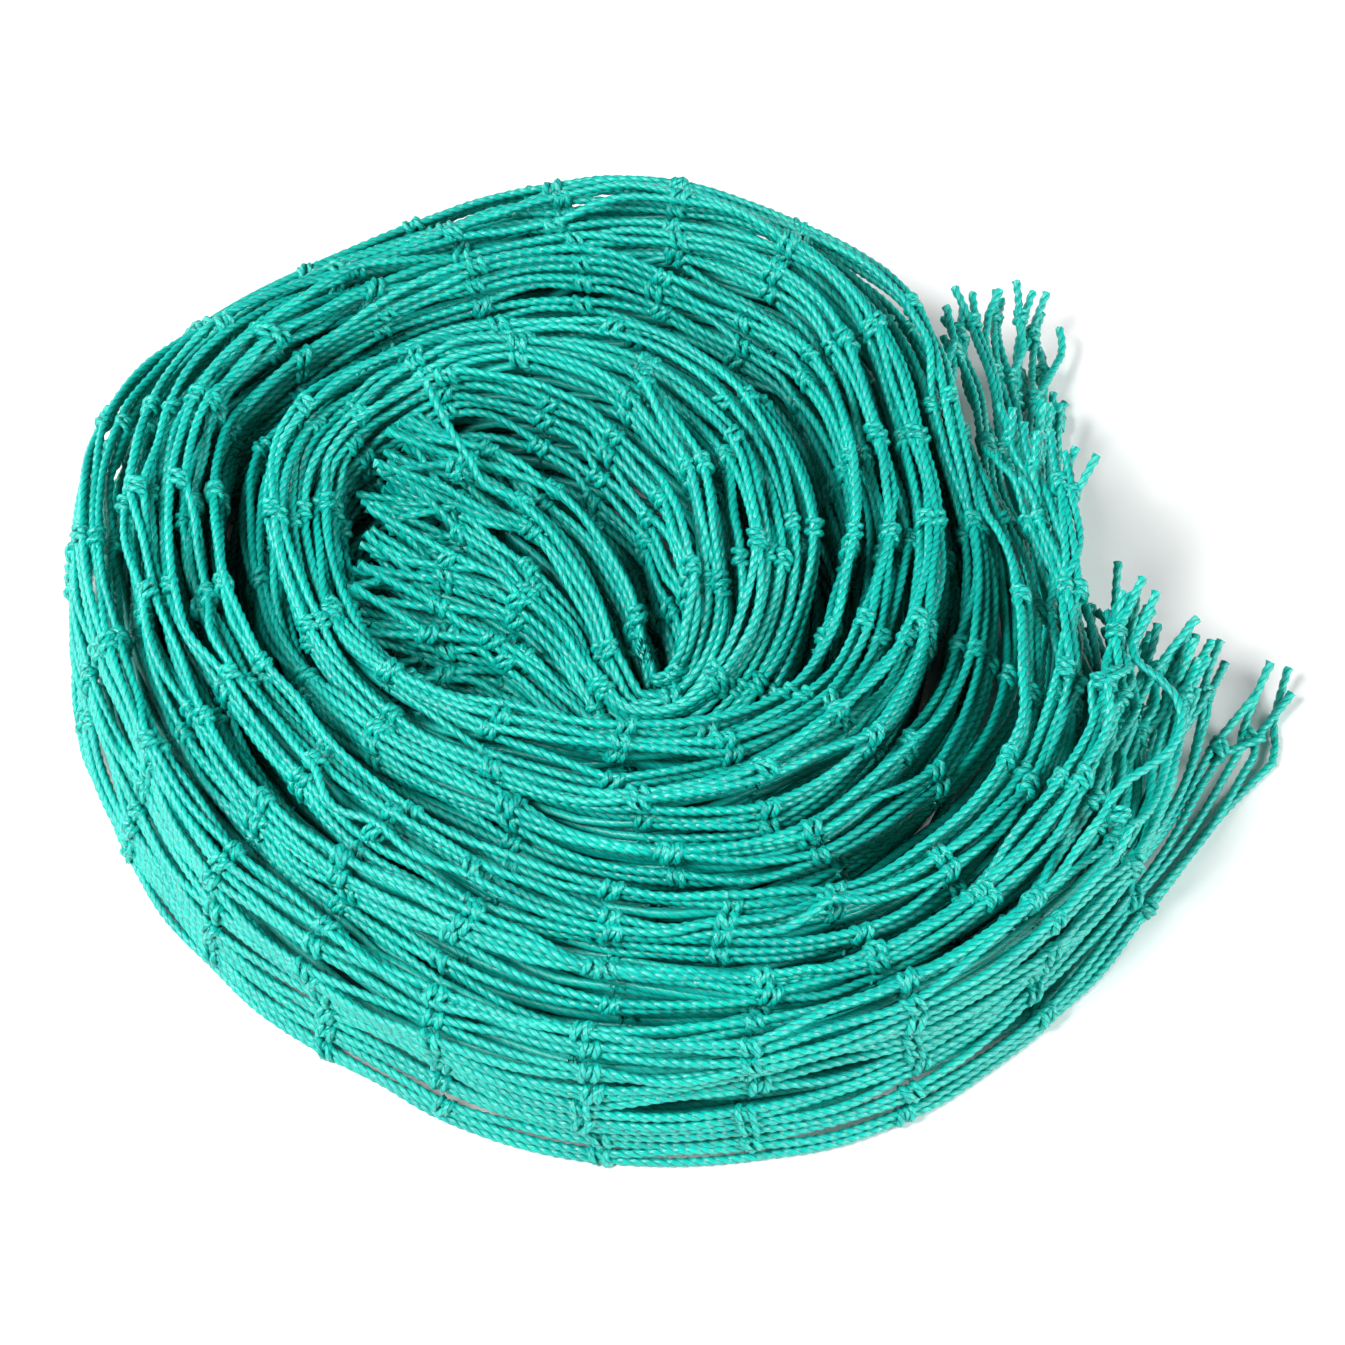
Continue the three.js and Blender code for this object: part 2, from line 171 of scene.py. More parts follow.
def net_at(length, share):
    """Places on the net, in the part's frame, at lengths along the coil and shares of the net's width."""
    place = np.interp(length, LENGTHS, PLACES)
    x, y, half, crest, base, rise = np.moveaxis(along_path(place), -1, 0)
    heading = along_path(place + HEADING_STEP)[..., :2] - along_path(place - HEADING_STEP)[..., :2]
    heading /= np.linalg.norm(heading, axis=-1, keepdims=True)
    line = pleat_line(length, half, crest)
    here = np.clip(np.searchsorted(SHARES, share) - 1, 0, len(SHARES) - 2)
    behind, ahead = np.maximum(here - 1, 0), np.minimum(here + 2, len(SHARES) - 1)
    before, start, stop, after = (np.take_along_axis(line, point[..., None, None], -2)[..., 0, :]
                                  for point in (behind, here, here + 1, ahead))
    span = (SHARES[here + 1] - SHARES[here])[..., None]
    part = (share - SHARES[here])[..., None] / span
    slope_start = (stop - before) / (SHARES[here + 1] - SHARES[behind])[..., None] * span
    slope_stop = (after - start) / (SHARES[ahead] - SHARES[here])[..., None] * span
    across, up = np.moveaxis(
        start * (1 + 2 * part) * (1 - part)**2 + slope_start * part * (1 - part)**2
        + stop * part**2 * (3 - 2 * part) + slope_stop * part**2 * (part - 1), -1, 0)
    beyond = length - outer_end(share)
    near = np.clip(1 - beyond / FLARE_REACH, 0, FLARE_MOST)
    nearer = np.clip(1 - beyond / FOOT_REACH, 0, 1)
    feet = FOOT_SPREAD * share**FOOT_POWER * (1 - up / crest / FOOT_LEVEL) * nearer**2 * (3 - 2 * nearer)
    outermost = np.clip((SLUMP_SHARE - share) / SLUMP_STEP, 0, 1)
    innermost = np.clip((SLUMP_SHARE - 1 + share) / SLUMP_STEP, 0, 1)
    slump = (np.interp(place, *OUTER_SLUMP_ROW_REACH.T) * outermost
             - np.interp(place, *INNER_SLUMP_ROW_REACH.T) * innermost)
    slump = slump * np.clip(1 - up / crest, 0, 1)**SLUMP_POWER
    across = across + FLARE * (1 - share)**FLARE_POWER * near**2 + feet + slump
    lift = np.maximum(base, 0) + up - np.maximum(rise, 0) * across / half
    return np.stack((x - heading[..., 1] * across, y + heading[..., 0] * across, lift), -1) + COIL_MIDDLE


# The knots' places. Each knot ties two neighbouring twines, and the next row ties each of them to the twine
# on its other side, so the meshes are diamonds. Drawn out, the rows lie a bar apart. The knots wander along
# the net, crowd together or part across it, and stand in or out of it, most of all at its two free ends.
TWINES = 112
NET_SEED = 11
UNEVEN_WAVES = 9
KNOT_WANDER, KNOT_DRIFT, KNOT_LIFT = 1.6, 1.05, 1.3
KNOT_STRAY, WANDER_STRAY = 0.55, 0.9
# The shortest waves of unevenness, in rows along the net and columns of knots across it.
WANDER_WAVES, DRIFT_WAVES, LIFT_WAVES = (2.5, 16), (3.5, 7), (3, 8)
LOOSE_REACH = 62.0
OUTER_LOOSE, INNER_LOOSE = 1.1, 0.25
INNER_TOSS, TOSS_REACH = 2.6, 48.0
EDGE_HELD, EDGE_LEAST = 8, 0.2
PINCH = 0.37
steady = np.random.default_rng(NET_SEED)
twine_index = np.arange(TWINES)
twine_share = (twine_index + 0.5) / TWINES
column_index = np.arange(TWINES + 1)
row_index = np.arange(ROW_COUNT + 2)[:, None]
row_share = (row_index - 0.5) / ROW_COUNT
row_place = NET_START * (1 - row_share) + inner_end(twine_share) * row_share
row_place[-1] = inner_end(twine_share) + INNER_KNOTS
# The outer end is cut on a slant across the rows, so that each twine has a first row of its own.
SHORTEST_BAR = 13.0
first_row = np.argmax(row_place > outer_end(twine_share) - OUTER_KNOTS + SHORTEST_BAR, 0) - 1
row_place[first_row, twine_index] = outer_end(twine_share) - OUTER_KNOTS
knot_column = twine_index + 1 - (twine_index + row_index) % 2


def uneven(shortest_rows, shortest_columns):
    """A smooth uneven field over the knots, about one in size, from waves of random heading."""
    field = np.zeros((ROW_COUNT + 2, TWINES + 1))
    for _ in range(UNEVEN_WAVES):
        along, across = steady.uniform(-1, 1, 2) / (shortest_rows, shortest_columns)
        field += np.sin(TAU * (along * row_index + across * column_index + steady.uniform()))
    return field * math.sqrt(2 / UNEVEN_WAVES)


def stray(size):
    return steady.normal(0, size, (ROW_COUNT + 2, TWINES + 1))


def on_twines(field):
    return np.take_along_axis(field, knot_column, 1)


def loosened(length, share):
    """How loose the net is: 1 where it is held by the coil, and more near its two cut ends."""
    outer = np.clip(1 - (length - outer_end(share)) / LOOSE_REACH, 0, 1)
    inner = np.clip(1 - (inner_end(share) - length) / LOOSE_REACH, 0, 1)
    return 1 + OUTER_LOOSE * outer + INNER_LOOSE * inner


node_place = row_place + on_twines(KNOT_WANDER * uneven(*WANDER_WAVES) + stray(WANDER_STRAY))
# Loosest at the outer end are the first few pairs of twine from the outer side edge.
LOOSE_PAIRS = (10, 10, 10, 2, 2, 7, 7, 1, 1, 4, 4, 0, 0, 5, 5)
node_place[first_row[:len(LOOSE_PAIRS)], twine_index[:len(LOOSE_PAIRS)]] -= LOOSE_PAIRS
looser = loosened(node_place, twine_share)
tossed = INNER_TOSS * np.clip(1 - (inner_end(twine_share) - node_place) / TOSS_REACH, 0, 1)
edge_held = np.clip(np.minimum(column_index, TWINES - column_index) / EDGE_HELD, EDGE_LEAST, 1)
node_drift = on_twines((KNOT_DRIFT * uneven(*DRIFT_WAVES) + stray(KNOT_STRAY)) * edge_held) * looser
node_lift = on_twines((KNOT_LIFT * uneven(*LIFT_WAVES) + stray(KNOT_STRAY)) * edge_held) * looser
node_lift += on_twines(stray(1)) * tossed
pinched_column = knot_column + PINCH * np.sign(twine_index + 0.5 - knot_column)
node_share = pinched_column / TWINES + node_drift / NET_WIDTH
EDGE = 0.35 / TWINES
node_share = np.clip(node_share, EDGE, 1 - EDGE)

# The bars of twine from knot to knot. Each has a little slack, so it bows sideways or out of the net, more
# at the two loosened ends, and leaves narrow slits beside it.
BAR_POINTS = 13
BOW_ACROSS, BOW_OUT, BOW_MOST = 0.55, 0.55, 1.3
SHARE_STEP = 0.003
LOWEST = 0.55 * TWINE
bar_count = (ROW_COUNT + 1, TWINES)
bar_part = np.linspace(0, 1, BAR_POINTS)
bow = np.sin(math.pi * bar_part)**2
bow_across = np.clip(steady.normal(0, BOW_ACROSS, bar_count), -BOW_MOST, BOW_MOST)
bow_out = np.clip(steady.normal(0, BOW_OUT, bar_count), -BOW_MOST, BOW_MOST)


def along_bars(nodes):
    return nodes[:-1, :, None] * (1 - bar_part) + nodes[1:, :, None] * bar_part


bar_place = along_bars(node_place)
bar_share = along_bars(node_share)
slack = bow * loosened(bar_place, bar_share)
bar_share = np.clip(bar_share + bow_across[..., None] * slack / NET_WIDTH, EDGE, 1 - EDGE)


def units(vectors):
    return vectors / np.maximum(np.linalg.norm(vectors, axis=-1, keepdims=True), 1e-9)


bar_points = net_at(bar_place, bar_share)
bar_sideways = units(net_at(bar_place, np.minimum(bar_share + SHARE_STEP, 1))
                     - net_at(bar_place, bar_share - SHARE_STEP))
bar_ahead = units(np.gradient(bar_points, axis=2))
bar_out = units(np.cross(bar_sideways, bar_ahead))
net_points = bar_points
bar_points = bar_points + bar_out * (along_bars(node_lift) + bow_out[..., None] * slack)[..., None]
bar_points[..., 2] = np.maximum(bar_points[..., 2], LOWEST)
bar_ahead = units(np.gradient(bar_points, axis=2))

# Which bars show. From three places on each bar, sight lines go out on both sides of the net, all round it
# and towards the front. The bars that show most are laid up from three plies, and the rest are plain twine.
SIGHT_CLEAR, SIGHT_REACH, SIGHT_TWIST = 2.1, 250.0, 11
all_round = [(0.0, 90.0)]
all_round += [(turn + SIGHT_TWIST * tilt, tilt) for tilt in (6, 28, 50, 70) for turn in range(0, 360, 30)]
to_front = [(turn, tilt) for tilt in (44, 50, 56) for turn in (-98, -94, -90, -86, -82)]


def heading_of(turn, tilt):
    turn, tilt = math.radians(turn), math.radians(tilt)
    return Vector((math.cos(tilt) * math.cos(turn), math.cos(tilt) * math.sin(turn), math.sin(tilt)))


sight_lines = [(heading_of(*line), 1 / len(lines)) for lines in (all_round, to_front) for line in lines]
kept = np.arange(ROW_COUNT + 1)[:, None] >= first_row
point_index = np.arange(net_points[..., 0].size).reshape(net_points.shape[:3])
beside = point_index[:, 1:][kept[:, :-1] & kept[:, 1:]], point_index[:, :-1][kept[:, :-1] & kept[:, 1:]]
cells = np.stack((beside[0][:, :-1], beside[0][:, 1:], beside[1][:, 1:], beside[1][:, :-1]), -1)
net_sheet = BVHTree.FromPolygons(net_points.reshape(-1, 3).tolist(), cells.reshape(-1, 4).tolist())
shown = np.zeros(bar_count)
for row, twine in np.argwhere(kept):
    for point in (BAR_POINTS // 4, BAR_POINTS // 2, 3 * BAR_POINTS // 4):
        at, out = Vector(net_points[row, twine, point]), Vector(bar_out[row, twine, point])
        for side in (1, -1):
            eye = at + out * (side * SIGHT_CLEAR)
            clear = sum(weight for line, weight in sight_lines
                        if net_sheet.ray_cast(eye, line, SIGHT_REACH)[0] is None)
            shown[row, twine] = max(shown[row, twine], clear)

# The twine: bright teal, three silky plies of fine filaments, laid up right-handed with about four turns to
# a bar. The grooves between the plies carry painted shade in deep green, the filaments carry pale painted
# highlights, and each length of twine differs a little in tone.
LAY = 6.6
PLIES = 3
PLY_CROWN, PLY_GROOVE, PLAIN = 0.91, 0.66, 0.88
PLAIN_SIDES = 5
# How deep the ply grooves look on each kind of twine: the strength of both their bump and their painted
# groove shade.
LAID_RELIEF_AND_SHADE, PLAIN_RELIEF_AND_SHADE, KNOT_RELIEF_AND_SHADE = 0.6, 0.4, 0.85
TEAL = (0.0, 0.38, 0.315, 1)
# Painted highlight: the pale teal of glints along the filaments.
GLINT_TEAL = (0.005, 0.60, 0.52, 1)
# Painted shade: the dark green that the ply grooves are darkened towards.
GROOVE_SHADE_GREEN = (0.0, 0.06, 0.046, 1)
FILAMENT_STRETCH, TONE_STRETCH = (30.0, 420.0, 0.0), (0.0, 55.0, 0.0)
NOISE_LOW, NOISE_HIGH = 0.3, 0.7
# How far the painted groove shade reaches across each ply.
GROOVE_SHADE_WIDTH = 0.36
# Where the filament noise paints pale highlights, and how pale they get at most.
GLINT_LOW, GLINT_HIGH, GLINT_MOST = 0.42, 0.75, 0.75
DARKEST_TONE, LIGHTEST_TONE = 0.84, 1.12
GREENEST, BLUEST = 0.495, 0.507
SMOOTHEST, ROUGHEST = 0.18, 0.40
RELIEF_STRENGTH, RELIEF_DEPTH = 0.45, 0.00025


def node_of(tree, kind, inputs=(), **settings):
    made = tree.nodes.new(kind)
    for name, value in settings.items():
        setattr(made, name, value)
    for name, value in dict(inputs).items():
        if isinstance(value, bpy.types.NodeSocket):
            tree.links.new(value, made.inputs[name])
        else:
            made.inputs[name].default_value = value
    return made


def math_of(tree, operation, first, second=0.0):
    return node_of(tree, "ShaderNodeMath", {0: first, 1: second}, operation=operation).outputs[0]


def stretched_noise(tree, uv, stretch, detail):
    way = node_of(tree, "ShaderNodeVectorMath", {0: uv, 1: stretch}, operation="MULTIPLY").outputs[0]
    return node_of(tree, "ShaderNodeTexNoise", {"Vector": way, "Scale": 1.0, "Detail": detail}).outputs[0]


def ramp(tree, value, low, high, at_low, at_high, **settings):
    inputs = {0: value, 1: low, 2: high, 3: at_low, 4: at_high}
    return node_of(tree, "ShaderNodeMapRange", inputs, **settings).outputs[0]


def mixed(tree, share, colour, other):
    return node_of(tree, "ShaderNodeMix", {0: share, 6: colour, 7: other}, data_type="RGBA").outputs[2]


def twine_material(name):
    material = bpy.data.materials.new(name)
    material.use_nodes = True
    tree = material.node_tree
    shader = tree.nodes["Principled BSDF"]
    uv = node_of(tree, "ShaderNodeTexCoord").outputs["UV"]
    way = node_of(tree, "ShaderNodeSeparateXYZ", {0: uv})
    ply = math_of(tree, "FRACT", math_of(tree, "MULTIPLY", way.outputs[0], PLIES))
    crown = math_of(tree, "MULTIPLY", math_of(tree, "ABSOLUTE", math_of(tree, "SUBTRACT", ply, 0.5)), 2.0)
    filaments = stretched_noise(tree, uv, FILAMENT_STRETCH, 3.0)
    tone = stretched_noise(tree, uv, TONE_STRETCH, 2.0)
    # Painted shade: the base colour darkens to deep green in each ply groove, more on twine whose grooves
    # are set to look deeper.
    groove_shade = ramp(tree, crown, 0.0, GROOVE_SHADE_WIDTH, 1.0, 0.0, interpolation_type="SMOOTHSTEP")
    # Painted highlights: pale teal streaks along the filaments, placed by the filament noise.
    teal_and_painted_glints = mixed(tree, ramp(tree, filaments, GLINT_LOW, GLINT_HIGH, 0.0, GLINT_MOST), TEAL, GLINT_TEAL)
    relief_and_shade = node_of(tree, "ShaderNodeAttribute", attribute_name="ply_relief_and_shade").outputs["Fac"]
    depth = math_of(tree, "MULTIPLY", groove_shade, relief_and_shade)
    value = ramp(tree, tone, NOISE_LOW, NOISE_HIGH, DARKEST_TONE, LIGHTEST_TONE)
    hue = ramp(tree, tone, NOISE_LOW, NOISE_HIGH, BLUEST, GREENEST)
    toned = node_of(tree, "ShaderNodeHueSaturation",
                    {"Hue": hue, "Value": value, "Color": mixed(tree, depth, teal_and_painted_glints, GROOVE_SHADE_GREEN)})
    tree.links.new(toned.outputs[0], shader.inputs["Base Color"])
    rough = ramp(tree, filaments, NOISE_LOW, NOISE_HIGH, SMOOTHEST, ROUGHEST)
    tree.links.new(rough, shader.inputs["Roughness"])
    rounded = math_of(tree, "MULTIPLY", crown, math_of(tree, "SUBTRACT", 2.0, crown))
    relief = math_of(tree, "ADD", math_of(tree, "MULTIPLY", rounded, relief_and_shade), filaments)
    bump = node_of(tree, "ShaderNodeBump",
                   {"Strength": RELIEF_STRENGTH, "Distance": RELIEF_DEPTH, "Height": relief})
    tree.links.new(bump.outputs[0], shader.inputs["Normal"])
    shader.inputs["Sheen Weight"].default_value = 0.03
    shader.inputs["Sheen Roughness"].default_value = 0.35
    shader.inputs["Sheen Tint"].default_value = (0.7, 1.0, 0.95, 1)
    shader.inputs["IOR"].default_value = 1.5
    return material


net_twine = twine_material("net_twine_laid")


def tube_faces(rings, sides, ring_joined=False):
    """Ring and side of each quad's corners on a tube. The diagonal from the first corner follows the lay."""
    ring, side = np.meshgrid(np.arange(rings - (not ring_joined)), np.arange(sides), indexing="ij")
    return (np.stack((ring, ring + 1, ring + 1, ring), -1).reshape(-1, 4),
            np.stack((side + 1, side + 1, side, side), -1).reshape(-1, 4))


def twine_piece(name, batches):
    """One joined mesh from batches of twine. A batch has points (count, rings, sides, 3) in millimetres, the
    way along the twine and the turn of its plies (count, rings). It says if its plies are formed, how strong
    the bump and the painted shade of their grooves are, and if its last ring joins its first one."""
    points, corners, starts, uvs, grooves, rims, reliefs_and_shades = [], [], [], [], [], [], []
    first_point = first_corner = 0
    for batch in batches:
        count, rings, sides = batch["points"].shape[:3]
        if not count:
            continue
        base = first_point + np.arange(count)[:, None, None] * rings * sides
        ring, side = tube_faces(rings, sides, batch["joined"])
        corner = base + (ring % rings) * sides + side % sides
        corner_u = side / sides + batch["turn"][:, ring]
        corner_v = batch["way"][:, ring]
        corners.append(corner.reshape(-1))
        uvs.append(np.stack((corner_u, corner_v), -1).reshape(-1, 2))
        starts.append(first_corner + 4 * np.arange(corner.size // 4))
        first_corner += corner.size
        if not batch["joined"]:
            for cap_ring, order in ((0, np.arange(sides)[::-1]), (rings - 1, np.arange(sides))):
                cap = base[:, 0] + cap_ring * sides + order
                cap_u = order / sides + batch["turn"][:, [cap_ring]]
                cap_v = np.broadcast_to(batch["way"][:, [cap_ring]], cap_u.shape)
                corners.append(cap.reshape(-1))
                uvs.append(np.stack((cap_u, cap_v), -1).reshape(-1, 2))
                starts.append(first_corner + sides * np.arange(count))
                first_corner += cap.size
        points.append(batch["points"].reshape(-1, 3))
        is_groove = np.broadcast_to((np.arange(sides) % 2 == 1) & batch["plies"], (count, rings, sides))
        grooves.append(is_groove.reshape(-1))
        rim = np.full((count, rings, sides), -1)
        if not batch["joined"]:
            rim[:, 0] = 2 * np.arange(count)[:, None]
            rim[:, -1] = 2 * np.arange(count)[:, None] + 1
        rims.append(rim.reshape(-1))
        reliefs_and_shades.append(np.full(count * rings * sides, batch["depth"]))
        first_point += count * rings * sides
    points, corners, starts = np.concatenate(points), np.concatenate(corners), np.concatenate(starts)
    grooves, rims = np.concatenate(grooves), np.concatenate(rims)
    mesh = bpy.data.meshes.new(name)
    mesh.vertices.add(len(points))
    mesh.vertices.foreach_set("co", (points * MM).astype(np.float32).ravel())
    mesh.loops.add(len(corners))
    mesh.loops.foreach_set("vertex_index", corners.astype(np.int32))
    mesh.polygons.add(len(starts))
    mesh.polygons.foreach_set("loop_start", starts.astype(np.int32))
    mesh.update(calc_edges=True)
    mesh.uv_layers.new(name="twine_way").uv.foreach_set(
        "vector", np.concatenate(uvs).astype(np.float32).ravel())
    ends = np.empty(2 * len(mesh.edges), np.int32)
    mesh.edges.foreach_get("vertices", ends)
    start, stop = ends.reshape(-1, 2).T
    sharp = (grooves[start] & grooves[stop]) | ((rims[start] >= 0) & (rims[start] == rims[stop]))
    mesh.attributes.new("sharp_edge", "BOOLEAN", "EDGE").data.foreach_set("value", sharp)
    # Per point, how strong the ply grooves' bump and painted shade are.
    mesh.attributes.new("ply_relief_and_shade", "FLOAT", "POINT").data.foreach_set(
        "value", np.concatenate(reliefs_and_shades).astype(np.float32))
    mesh.materials.append(net_twine)
    piece = bpy.data.objects.new(name, mesh)
    bpy.context.scene.collection.objects.link(piece)
    return piece


def resampled(values, rings):
    at = np.linspace(0, values.shape[1] - 1, rings)
    low = np.minimum(at.astype(int), values.shape[1] - 2)
    part = (at - low)[None, :, None]
    return values[:, low] * (1 - part) + values[:, low + 1] * part


def twine_batch(lines, sideways, rings, laid, way_start, swell=None):
    """Lengths of twine along lines (count, points, 3). laid: with three formed plies, else a plain tube."""
    middle = resampled(lines, rings)
    ahead = units(np.gradient(middle, axis=1))
    across = resampled(sideways, rings)
    across = units(across - ahead * np.sum(across * ahead, -1, keepdims=True))
    out = np.cross(ahead, across)
    step = np.linalg.norm(np.diff(middle, axis=1), axis=-1)
    way = np.concatenate((np.zeros((len(lines), 1)), np.cumsum(step, 1)), 1)
    turn = way / LAY
    sides = 2 * PLIES if laid else PLAIN_SIDES
    angle = TAU * np.arange(sides) / sides + (TAU * turn[..., None] if laid else 0)
    radius = np.where(np.arange(sides) % 2, PLY_GROOVE, PLY_CROWN) if laid else np.full(sides, PLAIN)
    if swell is not None:
        radius = radius * swell[None, :, None]
    offset = across[:, :, None] * (radius * np.cos(angle))[..., None]
    offset = offset + out[:, :, None] * (radius * np.sin(angle))[..., None]
    return {
        "points": middle[:, :, None] + offset,
        "way": way * MM + way_start[:, None],
        "turn": np.zeros_like(turn) if laid else -turn,
        "plies": laid,
        "depth": LAID_RELIEF_AND_SHADE if laid else PLAIN_RELIEF_AND_SHADE,
        "joined": False,
    }


# The net's bars, band by band across its width, each band eight twines wide. The twines run side by side
# along the coil, over the crests and down into the folds, and end in the knots.
LAID_BARS = 1730
RING_STEP, RINGS_MORE = 1.14, 6
PLAIN_RINGS = 6
BAND_TWINES = 8
BAR_WAY_STEP = 3.1
laid_bars = kept & (shown >= np.sort(shown[kept])[-LAID_BARS])
bar_way = bar_place[..., 0] * MM + BAR_WAY_STEP * twine_index
bar_length = np.linalg.norm(np.diff(bar_points, axis=2), axis=-1).sum(2)
bar_rings = RINGS_MORE * np.ceil(bar_length / RING_STEP / RINGS_MORE).astype(int) + 1
for band in range(TWINES // BAND_TWINES):
    mine = (twine_index // BAND_TWINES == band)[None, :]
    picks = [(True, rings, laid_bars & mine & (bar_rings == rings)) for rings in np.unique(bar_rings[kept])]
    picks.append((False, PLAIN_RINGS, kept & ~laid_bars & mine))
    batches = [twine_batch(bar_points[pick], bar_sideways[pick], rings, laid, bar_way[pick])
               for laid, rings, pick in picks]
    piece = twine_piece(f"net_band_{band + 1:02d}", batches)
    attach(piece, "root")
    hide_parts("net_coil")

# The knots, sheet bends drawn tight: one twine makes a bight and the other goes twice round it and under
# itself. They show as small lumps of wraps that cross, touching side by side in rows.
KNOT_WRAPS = 3
KNOT_ACROSS, KNOT_OUT, KNOT_ALONG, KNOT_SLANT = 1.3, 1.12, 1.42, 0.6
KNOT_TWINE = 0.7
KNOT_CROSSING = 0.2
KNOT_LAY = 4.5
KNOT_LEANS, KNOT_SIZES = (0.35, 0.65), (0.92, 1.08)
KNOT_ROUND = (1, 1, 0.4)
KNOT_WAY_START, KNOT_WAY_STEP = 400, 2.0
LAID_KNOTS = 720
KNOT_RINGS, KNOT_SIDES = 27, 5
BURIED_RINGS, BURIED_SIDES = 7, 3
low_first, high_first = np.append(ROW_COUNT, first_row), np.append(first_row, ROW_COUNT)
tied = ((column_index + row_index) % 2 == 1) & (row_index >= np.maximum(low_first, high_first))
tied_row, tied_column = np.nonzero(tied & (column_index > 0) & (column_index < TWINES))
twine_low, twine_high = tied_column - 1, tied_column
last_row = tied_row > ROW_COUNT
row_before, row_after = np.maximum(tied_row - 1, 0), np.minimum(tied_row, ROW_COUNT)


def at_knots(values):
    """Values on the bars' ends, averaged over the two twines that meet in each knot."""
    on_low, on_high = (
        np.where(last_row[:, None], values[row_before, twine, -1], values[row_after, twine, 0])
        for twine in (twine_low, twine_high))
    return (on_low + on_high) / 2


knot_place = at_knots(bar_points)
knot_ahead = units(at_knots(bar_ahead))
knot_sideways = at_knots(bar_sideways)
knot_sideways = units(knot_sideways - knot_ahead * np.sum(knot_sideways * knot_ahead, -1, keepdims=True))
knot_out = np.cross(knot_sideways, knot_ahead)
knot_shown = np.max([shown[row, twine] for row in (row_before, row_after)
                     for twine in (twine_low, twine_high)], axis=0)


def knot_batch(pick, rings, sides):
    count = np.count_nonzero(pick)
    turn_face = steady.choice((1.0, -1.0), (count, 1))
    turn_end = steady.choice((1.0, -1.0), (count, 1))
    lean = steady.uniform(*KNOT_LEANS, (count, 1)) * math.pi / 2
    size = steady.uniform(*KNOT_SIZES, (count, 1, 1))
    wrap = KNOT_WRAPS * TAU * np.arange(rings) / rings
    swing = wrap / KNOT_WRAPS + lean
    apart = 1 + KNOT_CROSSING * np.sin(swing)
    along = KNOT_ALONG * np.cos(swing) + KNOT_SLANT * np.cos(wrap)
    path = np.stack((KNOT_ACROSS * np.cos(wrap) * apart, KNOT_OUT * np.sin(wrap) * apart * turn_face,
                     along * turn_end), -1) * size
    ahead = units(np.roll(path, -1, 1) - np.roll(path, 1, 1))
    away = path * KNOT_ROUND
    away = units(away - ahead * np.sum(away * ahead, -1, keepdims=True))
    beside = np.cross(ahead, away)
    angle = TAU * np.arange(sides) / sides
    local = (path[:, :, None] + KNOT_TWINE * size[..., None]
             * (away[:, :, None] * np.cos(angle)[:, None] + beside[:, :, None] * np.sin(angle)[:, None]))
    axes = np.stack((knot_sideways[pick], knot_out[pick], knot_ahead[pick]), 1)
    points = np.einsum("krsa,kab->krsb", local, axes) + knot_place[pick][:, None, None]
    points[..., 2] = np.maximum(points[..., 2], 0.0)
    step = np.linalg.norm(np.roll(path, -1, 1) - path, axis=-1)
    way = np.concatenate((np.zeros((count, 1)), np.cumsum(step, 1)), 1)
    start = KNOT_WAY_STEP * np.arange(count)[:, None] + KNOT_WAY_START
    return {
        "points": points,
        "way": way * MM + start,
        "turn": -way / KNOT_LAY,
        "plies": False,
        "depth": KNOT_RELIEF_AND_SHADE,
        "joined": True,
    }


laid_knots = knot_shown >= np.sort(knot_shown)[-LAID_KNOTS]
for name, half in (("net_knots_outer_half", tied_column <= TWINES // 2),
                   ("net_knots_inner_half", tied_column > TWINES // 2)):
    piece = twine_piece(name, [knot_batch(half & laid_knots, KNOT_RINGS, KNOT_SIDES),
                               knot_batch(half & ~laid_knots, BURIED_RINGS, BURIED_SIDES)])
    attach(piece, "root")

# The cut ends. At both ends of the net the last knots keep two short tails of twine each, cut square and a
# little swollen at the tip. They part from each other and lift off the net.
TAIL_RINGS = 17
OUTER_TAIL, UPPER_TAIL, INNER_TAIL, TAIL_VARY = 11.5, 7.5, 16.0, 2.5
OUTER_SPLAY, INNER_SPLAY = 0.3, 0.1
OUTER_SCATTER, INNER_SCATTER = 0.12, 0.22
UPPER_TAIL_SHARES = (0.62, 0.8)
INNER_SPLAY_MORE = 3
TAIL_PART, PART_VARY = 0.16, 0.10
TAIL_RISE, RISE_VARY = 0.10, 0.14
TAIL_CURL, CURL_UP = 1.3, 0.8
TIP_SWELL, TIP_START = 0.16, 0.75
TAIL_WAY_START, TAIL_WAY_STEP = 900, 3.7


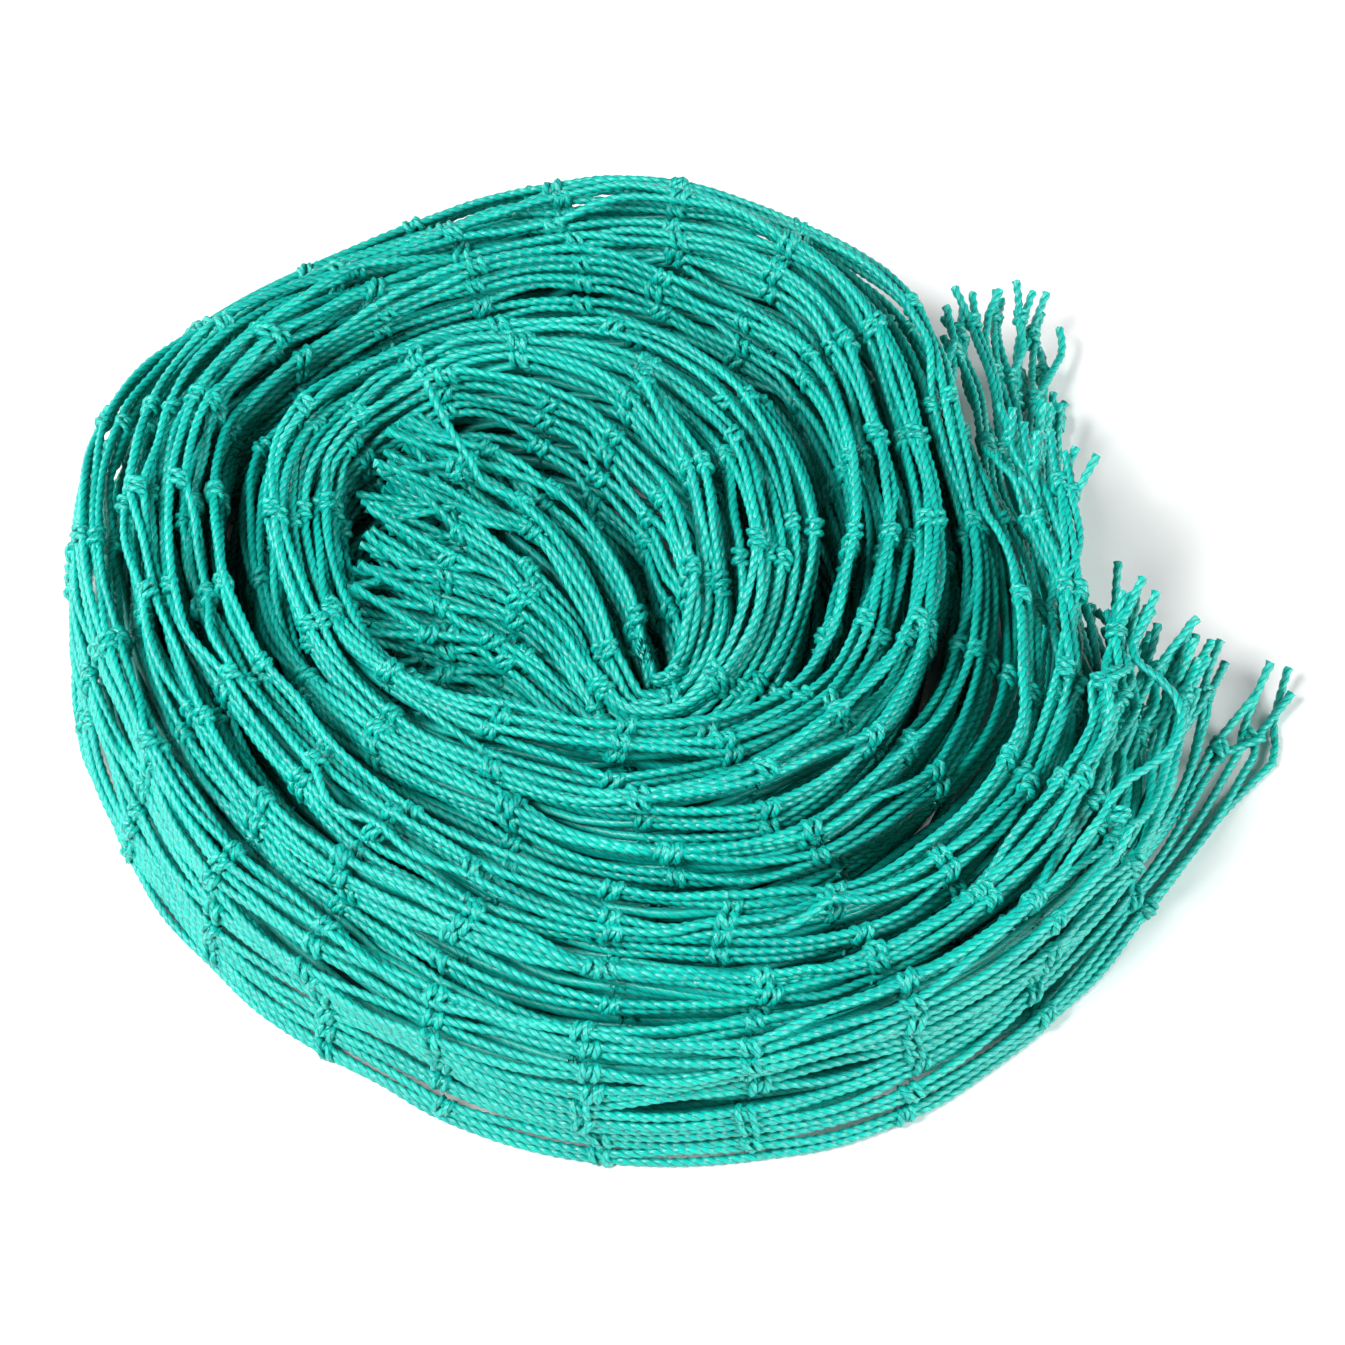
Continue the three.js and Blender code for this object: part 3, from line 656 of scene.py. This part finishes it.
def cut_ends(name, node, bar, point, towards, tail, splay, scatter):
    root, ahead, sideways, out = (values[bar, twine_index, point]
                                  for values in (bar_points, bar_ahead, bar_sideways, bar_out))
    level = units(np.stack((-ahead[:, 1], ahead[:, 0], 0 * ahead[:, 0]), -1))
    length = tail + TAIL_VARY * steady.uniform(-1, 1, TWINES)
    pair = np.where((twine_index + (bar if towards < 0 else bar + 1)) % 2, 1.0, -1.0)
    run = towards * ahead + level * (splay + steady.normal(0, scatter, TWINES))[:, None]
    run = run + sideways * (TAIL_PART * pair + steady.normal(0, PART_VARY, TWINES))[:, None]
    run[:, 2] += steady.normal(TAIL_RISE, RISE_VARY, TWINES)
    run = units(run) * length[:, None]
    curl = out * steady.normal(0, TAIL_CURL, TWINES)[:, None]
    curl[:, 2] += CURL_UP
    part = bar_part[None, :, None]
    lines = root[:, None] + run[:, None] * part + curl[:, None] * part**2
    lines[..., 2] = np.maximum(lines[..., 2], LOWEST)
    near_tip = np.clip((np.linspace(0, 1, TAIL_RINGS) - TIP_START) / (1 - TIP_START), 0, 1)
    swell = 1 + TIP_SWELL * near_tip**2
    beside = np.repeat(sideways[:, None], BAR_POINTS, 1)
    way_start = TAIL_WAY_START + TAIL_WAY_STEP * twine_index
    batch = twine_batch(lines, beside, TAIL_RINGS, True, way_start, swell)
    piece = twine_piece(name, [batch])
    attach(piece, "root")
    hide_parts(node)
    return piece


outer_tails = cut_ends("outer_cut_ends", "outer_end_fringe", first_row, 0, -1,
                       np.interp(twine_share, UPPER_TAIL_SHARES, (OUTER_TAIL, UPPER_TAIL)),
                       OUTER_SPLAY * (1 - twine_share), OUTER_SCATTER)
inner_tails = cut_ends("inner_cut_ends", "inner_end_fringe", ROW_COUNT, -1, 1, INNER_TAIL,
                       INNER_SPLAY * (1 + INNER_SPLAY_MORE * twine_share), INNER_SCATTER)

# A pale, plain floor under soft studio light from all round: a wide lamp in front on the left, lower ones on
# the right and behind, and a bright room.
bpy.ops.object.select_all(action="DESELECT")
bpy.ops.mesh.primitive_plane_add(size=6, location=(0, 0, 0))
floor = bpy.context.object
floor.name = "floor"
floor_paint = bpy.data.materials.new("floor_paint")
floor_paint.use_nodes = True
paint = floor_paint.node_tree.nodes["Principled BSDF"]
paint.inputs["Base Color"].default_value = (0.93, 0.93, 0.93, 1)
paint.inputs["Roughness"].default_value = 0.75
floor.data.materials.append(floor_paint)

world = bpy.data.worlds.new("bright_room")
world.use_nodes = True
world.node_tree.nodes["Background"].inputs["Color"].default_value = (1, 1, 1, 1)
world.node_tree.nodes["Background"].inputs["Strength"].default_value = 0.1
bpy.context.scene.world = world


def soft_lamp(name, place, aim, size, power):
    lamp = bpy.data.lights.new(name, "AREA")
    lamp.shape = "SQUARE"
    lamp.size = size
    lamp.energy = power
    holder = bpy.data.objects.new(name, lamp)
    holder.location = place
    holder.rotation_euler = (Vector(aim) - Vector(place)).to_track_quat("-Z", "Y").to_euler()
    bpy.context.scene.collection.objects.link(holder)


soft_lamp("key_lamp", (-0.58, -0.46, 0.82), (0, 0, 0), 0.4, 17)
soft_lamp("fill_lamp", (0.95, -0.35, 0.45), (0.05, 0, 0.02), 0.5, 14)
soft_lamp("rim_lamp", (-0.95, 0.35, 0.5), (-0.03, 0.03, 0.02), 0.5, 9)

# The camera stands in front and looks down at 50 degrees, as in the photograph. Its aim, its distance and
# its lens give the coil the place and the size in the frame that it has there.
AIM = Vector((2.47, -10.93, 15.0)) * MM
CAMERA_DISTANCE, CAMERA_ELEVATION = 0.72, math.radians(50)
camera_lens = bpy.data.cameras.new("camera")
camera_lens.sensor_width = 36
camera_lens.lens = 101.65
camera = bpy.data.objects.new("camera", camera_lens)
from_aim = Vector((0, -math.cos(CAMERA_ELEVATION), math.sin(CAMERA_ELEVATION)))
camera.location = AIM + CAMERA_DISTANCE * from_aim
camera.rotation_euler = (AIM - camera.location).to_track_quat("-Z", "Y").to_euler()
bpy.context.scene.collection.objects.link(camera)
bpy.context.scene.camera = camera
bpy.context.scene.view_settings.view_transform = "Standard"
